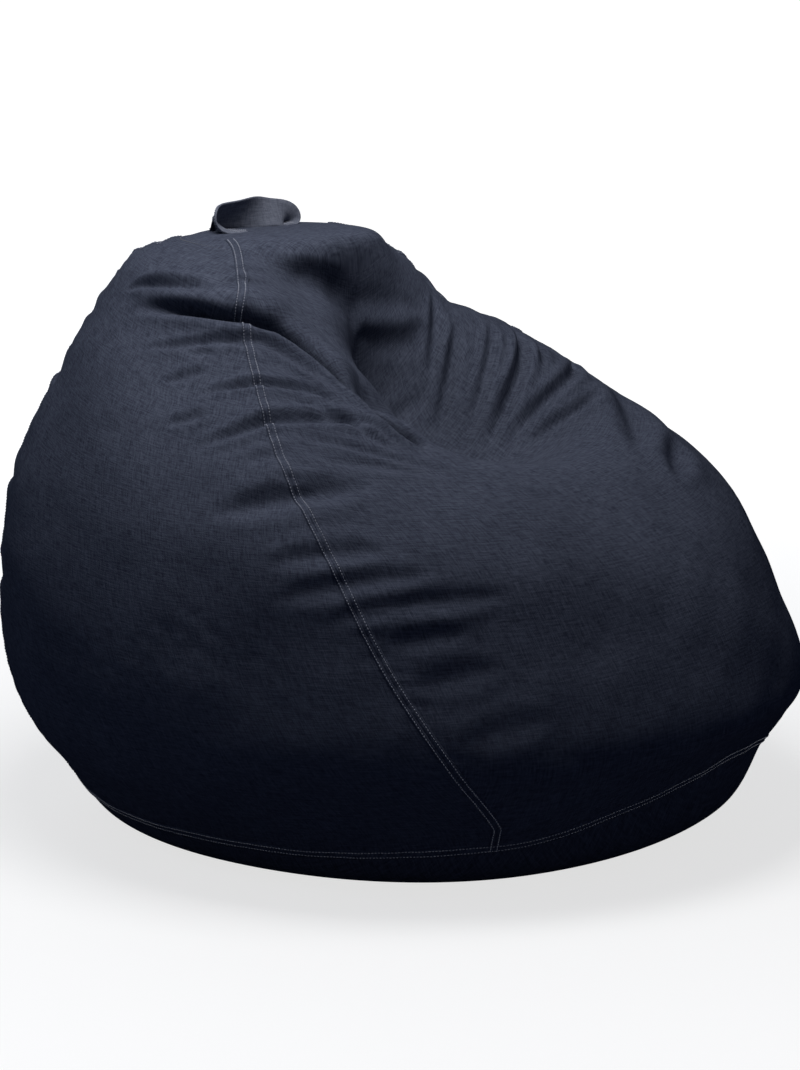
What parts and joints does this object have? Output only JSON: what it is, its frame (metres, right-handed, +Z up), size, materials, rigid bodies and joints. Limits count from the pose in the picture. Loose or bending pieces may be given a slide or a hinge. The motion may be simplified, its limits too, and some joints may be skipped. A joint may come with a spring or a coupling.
{
  "type": "bean bag chair",
  "caption": "Teardrop bean bag chair with a seat hollow, a topstitched panelled cover, a carry strap on its crown, a base zip and a zipped inner liner full of beads.",
  "frame": {"origin": "on the floor under the middle of the bag's box", "axes": "+Z up; the sitter faces -Y; the sitter's left is +X"},
  "size_m": [0.9204, 0.94, 0.698],
  "materials": {
    "cover_fabric": "matte",
    "strap_fabric": "matte",
    "thread": "satin",
    "liner_cloth": "matte",
    "beads": "matte",
    "zip_tape": "matte",
    "zip_coil": "satin",
    "zip_metal": "satin"
  },
  "bodies": {
    "cover": {"front_panel": "cover_fabric", "back_panel": "cover_fabric", "left_panel": "cover_fabric", "right_panel": "cover_fabric", "crown_panel": "cover_fabric", "base_panel": "cover_fabric", "topstitch_front_left": "thread", "topstitch_front_right": "thread", "topstitch_back_left": "thread", "topstitch_back_right": "thread", "topstitch_crown": "thread", "topstitch_base": "thread", "zip_tape_lower": "zip_tape", "zip_tape_upper": "zip_tape", "zip_coil_lower": "zip_coil", "zip_coil_upper": "zip_coil", "zip_stops": "zip_metal", "strap_root_tabs": "strap_fabric", "strap_bartacks": "thread", "liner_front": "liner_cloth", "liner_back": "liner_cloth", "liner_crown": "liner_cloth", "liner_base": "liner_cloth", "liner_zip_tape_lower": "zip_tape", "liner_zip_tape_upper": "zip_tape", "liner_zip_coil_lower": "zip_coil", "liner_zip_coil_upper": "zip_coil", "liner_zip_stops": "zip_metal", "bead_fill": "beads"},
    "strap": {"carry_strap": "strap_fabric"},
    "zip_slider_body": {"zip_slider": "zip_metal"},
    "liner_slider_body": {"liner_zip_slider": "zip_metal"}
  },
  "joints": [
    {"name": "strap_tip", "type": "hinge", "parent": "cover", "child": "strap", "pos_m": [0, 0.208, 0.664], "axis": [1, 0, 0], "range_deg": [-40, 40], "stiffness_Nm_per_rad": 0.01},
    {"name": "zip_travel", "type": "hinge", "parent": "cover", "child": "zip_slider_body", "pos_m": [0, 0, 0], "axis": [0, 0, 1], "range_deg": [0, 84]},
    {"name": "liner_zip_travel", "type": "hinge", "parent": "cover", "child": "liner_slider_body", "pos_m": [0, 0, 0], "axis": [0, 0, 1], "range_deg": [0, 84]}
  ]
}
